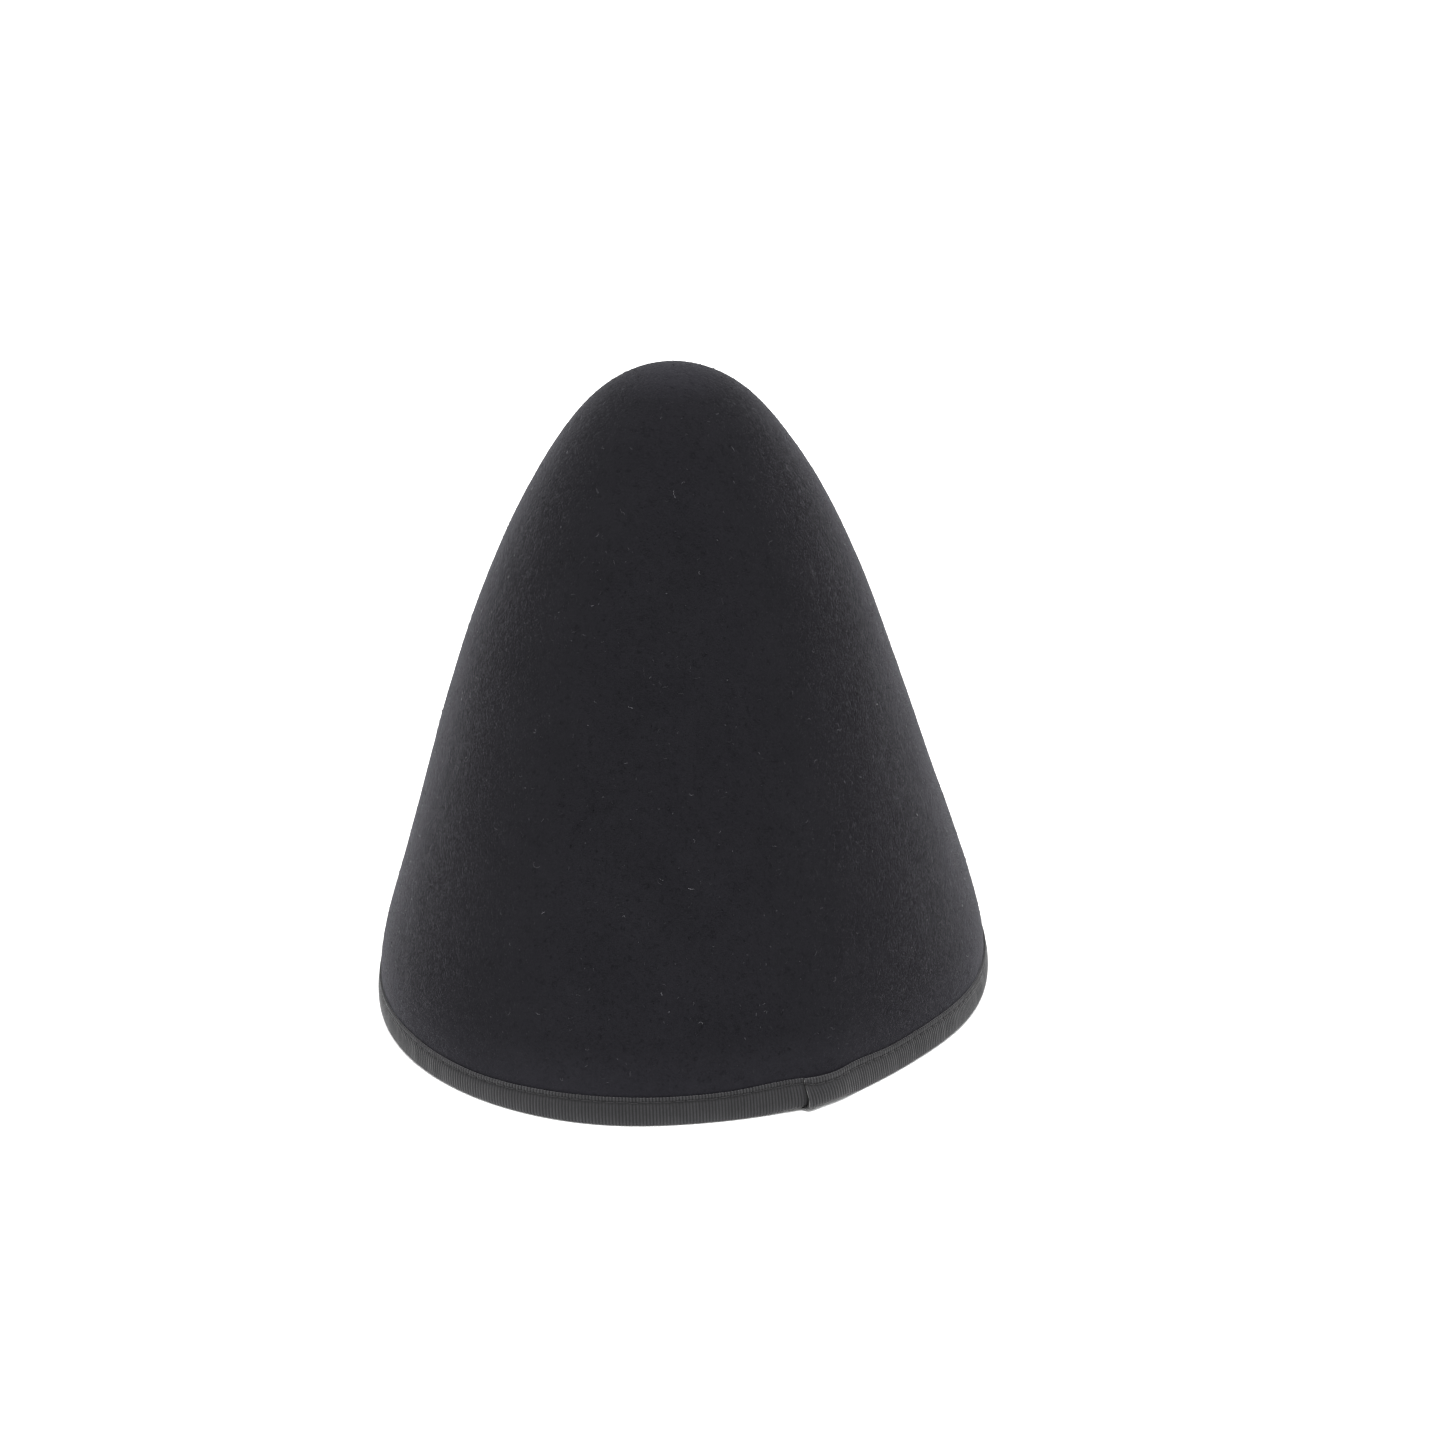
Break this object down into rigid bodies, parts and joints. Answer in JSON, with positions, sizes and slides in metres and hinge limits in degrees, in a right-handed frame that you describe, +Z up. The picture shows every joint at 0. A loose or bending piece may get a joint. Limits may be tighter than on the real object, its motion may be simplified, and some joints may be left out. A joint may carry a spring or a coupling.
{
  "type": "clown cone hat",
  "caption": "Rounded cone hat of black felt, open below, with its rim bound in folded grosgrain ribbon.",
  "frame": {"origin": "centre of the rim, on the surface that the hat rests on", "axes": "+Z up to the tip, Y along the long axis of the oval head opening, X across it, with the ribbon's lap on the +X side towards -Y"},
  "size_m": [0.1763, 0.1959, 0.196],
  "materials": {
    "felt": "dull black wool felt with a short soft nap",
    "grosgrain": "black ribbed grosgrain ribbon with a faint sheen",
    "thread": "black sewing thread"
  },
  "bodies": {
    "root": {"felt_cone": "felt", "rim_binding": "grosgrain"}
  },
  "joints": []
}
